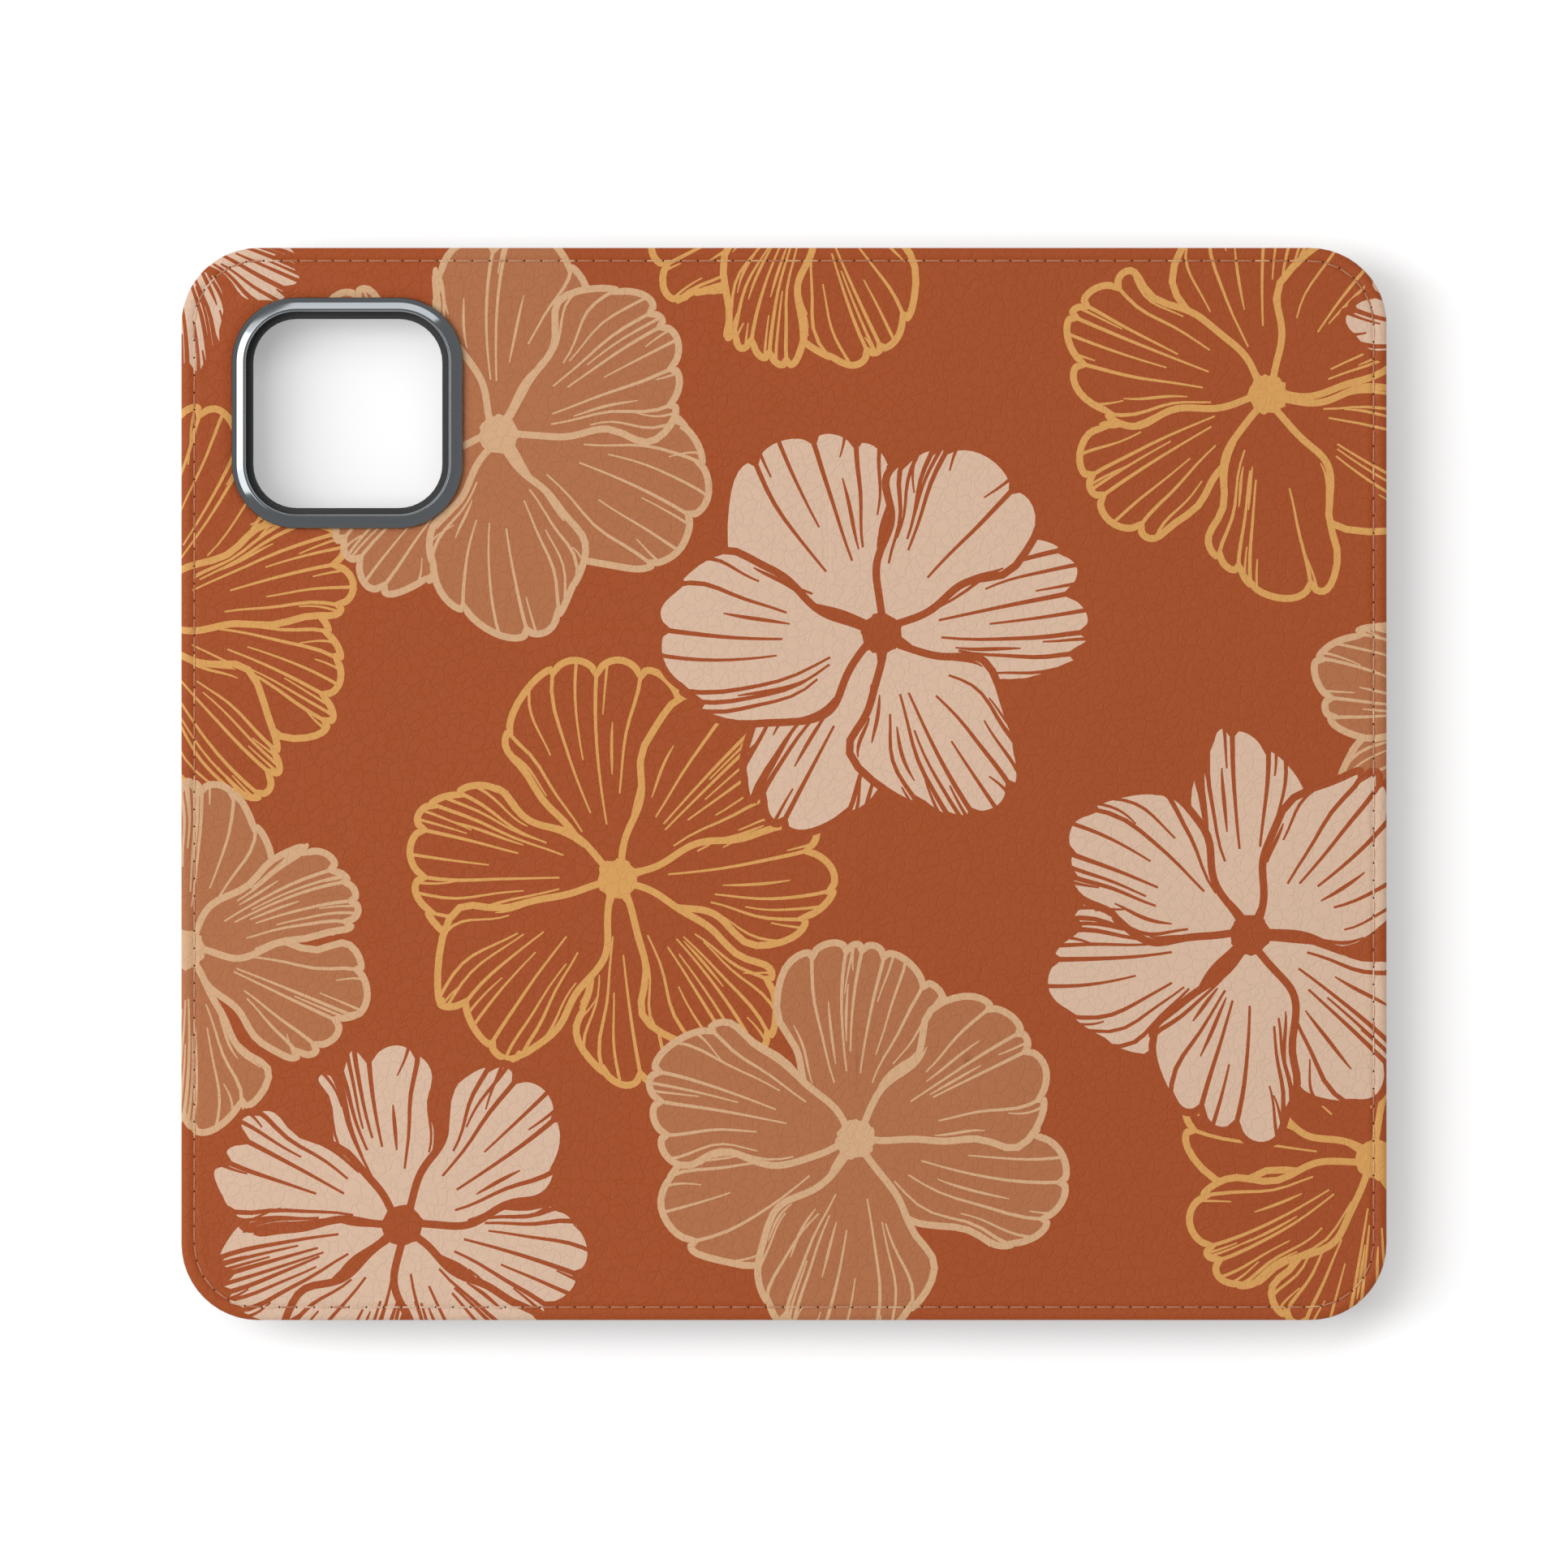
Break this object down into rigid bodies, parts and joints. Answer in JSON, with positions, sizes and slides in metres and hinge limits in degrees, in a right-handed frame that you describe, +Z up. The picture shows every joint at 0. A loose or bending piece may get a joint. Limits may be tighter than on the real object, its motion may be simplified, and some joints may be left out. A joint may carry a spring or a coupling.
{
  "type": "folio phone case",
  "caption": "Book-style wallet case for a phone, open flat with its floral printed leather side up; snap-in cradle, camera window, spine and pocketed magnetic cover.",
  "frame": {"origin": "middle of the open case in plan, on the surface that the cradle's lip rests on", "axes": "+X from the back panel over the spine to the front cover; +Y along the phone towards the camera window; +Z up, out of the printed side"},
  "size_m": [0.1732, 0.1542, 0.0143],
  "materials": {
    "printed_leather": "faux leather with a fine crackle grain, printed with large flowers in cream, tan and ochre on rust",
    "seam_thread": "polyester thread, tone on tone",
    "pocket_thread": "dark polyester thread",
    "pressed_board": "pressed paper board, hidden",
    "dark_lining": "brushed microfibre",
    "pocket_leather": "fine smooth grain",
    "adhesive_film": "clear adhesive film, hidden",
    "cradle_plastic": "satin moulded",
    "glossy_bezel": "glossy moulded",
    "nickel_plate": "nickel plated, hidden"
  },
  "bodies": {
    "back_panel": {"back_skin": "printed_leather", "back_board": "pressed_board", "back_lining": "dark_lining", "shell_adhesive": "adhesive_film", "cradle_shell": "cradle_plastic", "camera_bezel": "glossy_bezel", "closure_keeper_upper": "nickel_plate", "closure_keeper_lower": "nickel_plate", "back_thread": "seam_thread"},
    "spine": {"spine_skin": "printed_leather", "spine_board": "pressed_board", "spine_lining": "dark_lining", "spine_thread_top": "seam_thread", "spine_thread_bottom": "seam_thread"},
    "cover": {"cover_skin": "printed_leather", "cover_board": "pressed_board", "cover_lining": "dark_lining", "note_pocket": "pocket_leather", "card_slot_rear": "pocket_leather", "card_slot_middle": "pocket_leather", "card_slot_front": "pocket_leather", "cover_magnet_upper": "nickel_plate", "cover_magnet_lower": "nickel_plate", "cover_thread": "seam_thread", "pocket_thread": "pocket_thread"}
  },
  "joints": [
    {"name": "spine_fold", "type": "hinge", "parent": "back_panel", "child": "spine", "pos_m": [-0.0084, 0, 0.012], "axis": [0, 1, 0], "range_deg": [-90, 90]},
    {"name": "cover_fold", "type": "hinge", "parent": "spine", "child": "cover", "pos_m": [0.0084, 0, 0.012], "axis": [0, 1, 0], "range_deg": [-90, 90]}
  ]
}
